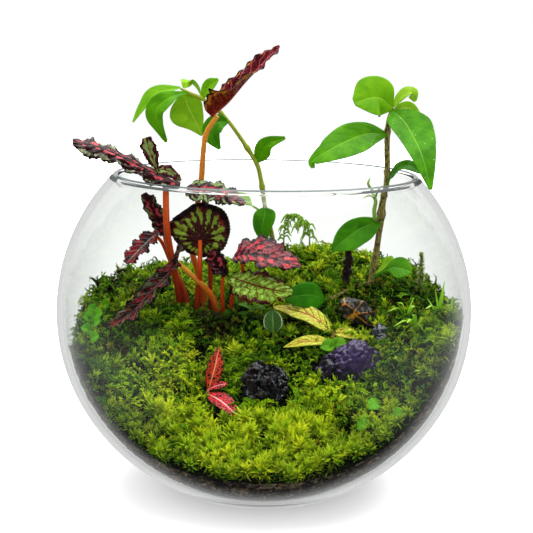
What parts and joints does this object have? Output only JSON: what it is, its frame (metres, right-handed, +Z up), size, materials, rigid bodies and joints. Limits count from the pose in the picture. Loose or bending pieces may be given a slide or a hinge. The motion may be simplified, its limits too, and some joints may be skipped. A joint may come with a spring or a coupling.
{
  "type": "glass plant terrarium",
  "caption": "Open round glass bowl holding a mossy slope of soil planted with a begonia, leafy vines and net-veined foliage, set with stones and a twig.",
  "frame": {"origin": "middle of the bowl's flat foot, on the surface that it stands on", "axes": "+Z up through the bowl's mouth, -Y towards the low open front of the planting, +X to the viewer's right"},
  "size_m": [0.25, 0.25, 0.2657],
  "materials": {
    "clear_glass": "clear blown glass, polished",
    "dark_soil": "damp crumbly potting soil",
    "moss": "living cushion moss",
    "black_stone": "broken glossy black mineral",
    "amethyst": "rough purple crystal cluster",
    "veined_rock": "grey-brown rock with orange fibrous veins",
    "small_stone": "damp grey pebble",
    "begonia_petiole": "smooth juicy orange-red stalk",
    "begonia_leaf": "puckered maroon leaf, half glossy",
    "vine_stem": "smooth green stem",
    "vine_bark": "thin olive-brown bark",
    "vine_leaf": "waxy green leaf",
    "yellow_net_leaf": "thin yellow leaf with red veins",
    "red_net_leaf": "thin red leaf with pale veins",
    "pale_edged_leaf": "thin green leaf with a pale rim",
    "small_leaf": "fresh green leaf",
    "fern": "fine green frond",
    "grass": "narrow bright green blade",
    "twig_bark": "dark knobbly bark"
  },
  "bodies": {
    "root": {"glass_bowl": "clear_glass", "soil": "dark_soil", "moss_carpet": "moss", "black_stone": "black_stone", "amethyst": "amethyst", "veined_rock": "veined_rock", "small_stone": "small_stone", "begonia_stems": "begonia_petiole", "begonia_leaf_1": "begonia_leaf", "begonia_leaf_2": "begonia_leaf", "begonia_leaf_3": "begonia_leaf", "begonia_leaf_4": "begonia_leaf", "begonia_leaf_5": "begonia_leaf", "begonia_leaf_6": "begonia_leaf", "begonia_leaf_7": "begonia_leaf", "begonia_leaf_8": "begonia_leaf", "begonia_leaf_9": "begonia_leaf", "begonia_leaf_10": "begonia_leaf", "vine_left_stem": "vine_stem", "vine_left_leaf_1": "vine_leaf", "vine_left_leaf_2": "vine_leaf", "vine_left_leaf_3": "vine_leaf", "vine_left_leaf_4": "vine_leaf", "vine_left_leaf_5": "vine_leaf", "vine_left_leaf_6": "vine_leaf", "vine_left_leaf_7": "vine_leaf", "vine_left_leaf_8": "vine_leaf", "vine_left_leaf_9": "vine_leaf", "vine_right_stem": "vine_bark", "vine_right_leaf_1": "vine_leaf", "vine_right_leaf_2": "vine_leaf", "vine_right_leaf_3": "vine_leaf", "vine_right_leaf_4": "vine_leaf", "vine_right_leaf_5": "vine_leaf", "vine_right_leaf_6": "vine_leaf", "vine_right_leaf_7": "vine_leaf", "vine_right_leaf_8": "vine_leaf", "vine_right_leaf_9": "vine_leaf", "vine_right_leaf_10": "vine_leaf", "net_plant_yellow": "yellow_net_leaf", "net_plant_red": "red_net_leaf", "pale_edged_leaf": "pale_edged_leaf", "leafy_shoot": "small_leaf", "round_leaf_sprig": "small_leaf", "creeper_sprig": "small_leaf", "lobed_leaf_1": "small_leaf", "lobed_leaf_2": "small_leaf", "lobed_leaf_3": "small_leaf", "fern_sprig_1": "fern", "fern_sprig_2": "fern", "spike_sprig": "fern", "grass_tuft_1": "grass", "grass_tuft_2": "grass", "grass_tuft_3": "grass", "twig_stub": "twig_bark"}
  },
  "joints": []
}
